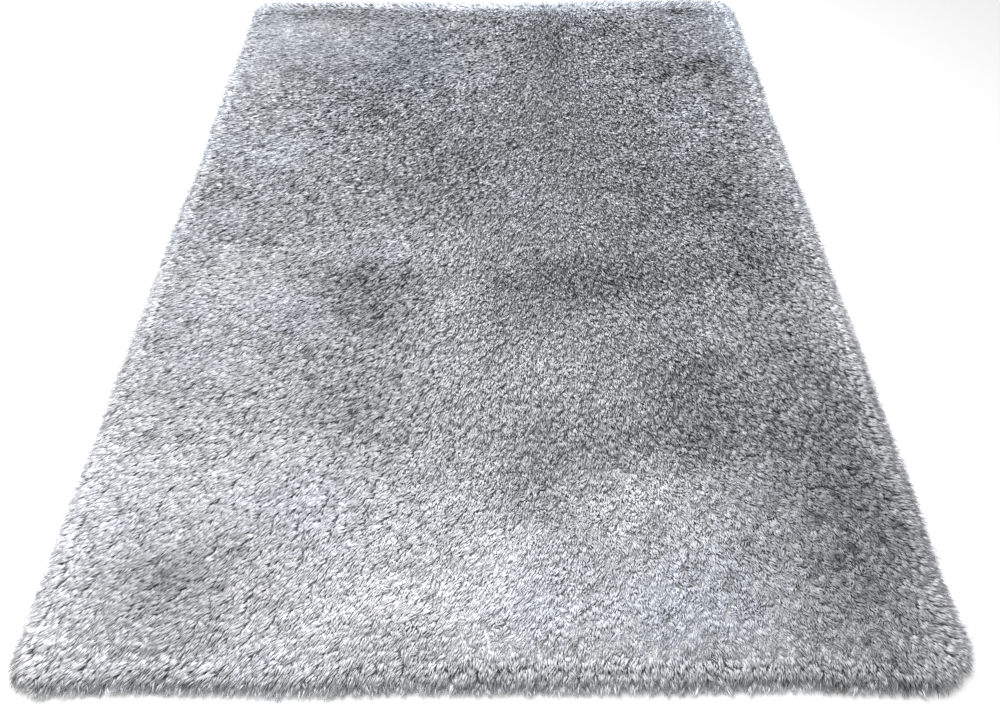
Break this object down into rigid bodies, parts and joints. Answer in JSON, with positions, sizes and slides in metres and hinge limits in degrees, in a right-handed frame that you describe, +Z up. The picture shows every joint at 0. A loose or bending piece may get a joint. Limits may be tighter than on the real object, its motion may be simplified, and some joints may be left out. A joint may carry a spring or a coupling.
{
  "type": "shag rug",
  "caption": "Rectangular deep-pile shag rug in silvery grey, with soft rounded corners and a rim of loose locks, lying flat on the floor.",
  "frame": {"origin": "on the floor, under the middle of the rug", "axes": "+Y along the rug's length, +X across its width, +Z up out of the pile"},
  "size_m": [1.6, 2.3, 0.05],
  "materials": {
    "pile": "silky silver-grey synthetic pile"
  },
  "bodies": {
    "root": {"shag_rug": "pile"}
  },
  "joints": []
}
